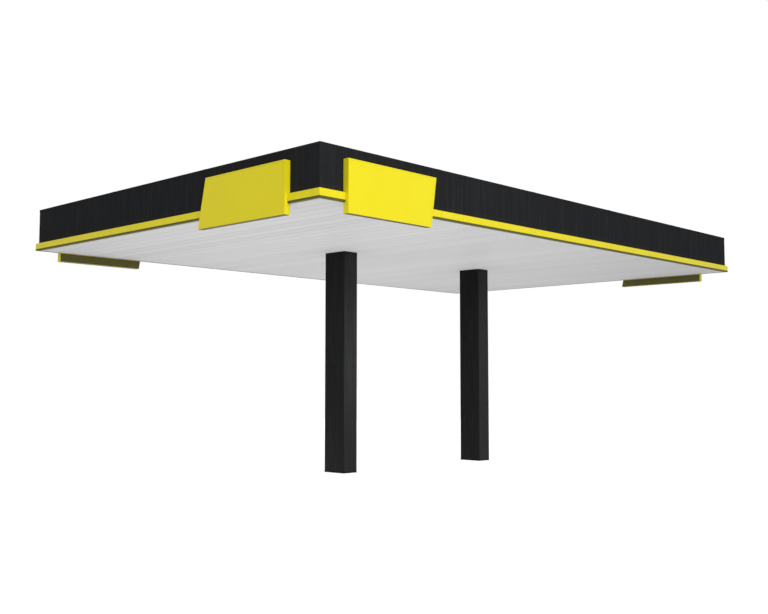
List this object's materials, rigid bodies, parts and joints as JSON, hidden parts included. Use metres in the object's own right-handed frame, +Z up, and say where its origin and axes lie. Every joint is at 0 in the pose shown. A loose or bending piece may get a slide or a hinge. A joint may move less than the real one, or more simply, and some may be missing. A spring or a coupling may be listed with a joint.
{
  "type": "filling station canopy",
  "caption": "Flat filling station canopy on black cased columns, with a tall black fascia, a yellow edge trim and slanted blank sign boxes.",
  "frame": {"origin": "on the ground under the centre of the canopy, midway between the columns", "axes": "+X along the canopy, away from the end that has the long side signs; +Y across it, away from the side that has the short side signs; +Z up"},
  "size_m": [15.12, 9.6, 5.931],
  "materials": {
    "steel": "grey primer on rolled steel",
    "zinc": "hot dip galvanised sheet and cold formed sections",
    "casing": "black powder coated folded aluminium, satin",
    "fascia": "black powder coated aluminium cassettes, satin",
    "coping": "black powder coated folded aluminium, satin",
    "trim": "yellow powder coated aluminium section, satin",
    "sign": "yellow coated sign face and returns, satin",
    "soffit": "pale grey coated steel planks, matt"
  },
  "bodies": {
    "root": {"left_base_plate": "steel", "right_base_plate": "steel", "left_column": "steel", "right_column": "steel", "left_casing_rings": "zinc", "right_casing_rings": "zinc", "left_casing_front": "casing", "left_casing_back": "casing", "right_casing_front": "casing", "right_casing_back": "casing", "left_downpipe": "zinc", "right_downpipe": "zinc", "spine_beam": "steel", "cross_beams": "steel", "front_purlins": "zinc", "back_purlins": "zinc", "front_roof_sheet": "zinc", "back_roof_sheet": "zinc", "roof_gutter": "zinc", "side_flashings": "zinc", "end_flashings": "zinc", "soffit_grid": "zinc", "left_soffit": "soffit", "middle_soffit": "soffit", "right_soffit": "soffit", "front_fascia_frame": "steel", "back_fascia_frame": "steel", "left_fascia_frame": "steel", "right_fascia_frame": "steel", "front_fascia": "fascia", "back_fascia": "fascia", "left_fascia": "fascia", "right_fascia": "fascia", "front_trim": "trim", "back_trim": "trim", "left_trim": "trim", "right_trim": "trim", "front_coping": "coping", "back_coping": "coping", "left_coping": "coping", "right_coping": "coping", "front_sign": "sign", "back_sign": "sign", "left_sign": "sign", "right_sign": "sign"}
  },
  "joints": []
}
